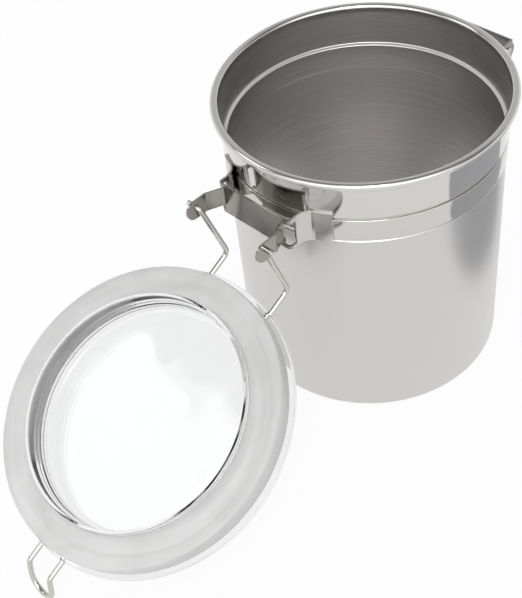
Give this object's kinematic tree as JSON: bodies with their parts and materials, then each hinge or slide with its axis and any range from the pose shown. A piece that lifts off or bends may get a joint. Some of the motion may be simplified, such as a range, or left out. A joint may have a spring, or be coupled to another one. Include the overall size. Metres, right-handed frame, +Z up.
{
  "type": "clamp lid canister",
  "caption": "Round stainless steel kitchen canister with a hinged clear lid, a translucent gasket, a bent wire hinge and a draw latch, shown open.",
  "frame": {"origin": "centre of the flat base on the canister's axis", "axes": "+Z up along the canister's axis, +Y towards the hinge, -Y towards the latch, +X along the hinge pins"},
  "size_m": [0.1552, 0.3462, 0.1598],
  "materials": {
    "satin_steel": "satin outside, polished neck, brushed round the inside",
    "polished_steel": "mirror polished sheet",
    "spring_wire": "bright drawn wire",
    "clear_acrylic": "clear and glossy",
    "silicone": "milky translucent, smooth"
  },
  "bodies": {
    "canister": {"canister_shell": "satin_steel", "neck_band": "polished_steel", "hinge_bracket": "polished_steel", "latch_bracket": "polished_steel", "lever_rivets": "polished_steel"},
    "lid": {"clear_lid": "clear_acrylic", "lid_gasket": "silicone", "lid_wire": "spring_wire"},
    "lever": {"latch_lever": "polished_steel"},
    "link": {"latch_link": "spring_wire"}
  },
  "joints": [
    {"name": "lid_hinge", "type": "hinge", "parent": "canister", "child": "lid", "pos_m": [0, 0.0946, 0.13445], "axis": [1, 0, 0], "range_deg": [0, 206]},
    {"name": "lever_pivot", "type": "hinge", "parent": "canister", "child": "lever", "pos_m": [0, -0.0946, 0.13445], "axis": [-1, 0, 0], "range_deg": [0, 150]},
    {"name": "link_pivot", "type": "hinge", "parent": "lever", "child": "link", "pos_m": [0, -0.09361, 0.12742], "axis": [-1, 0, 0], "range_deg": [0, 193.8]}
  ]
}
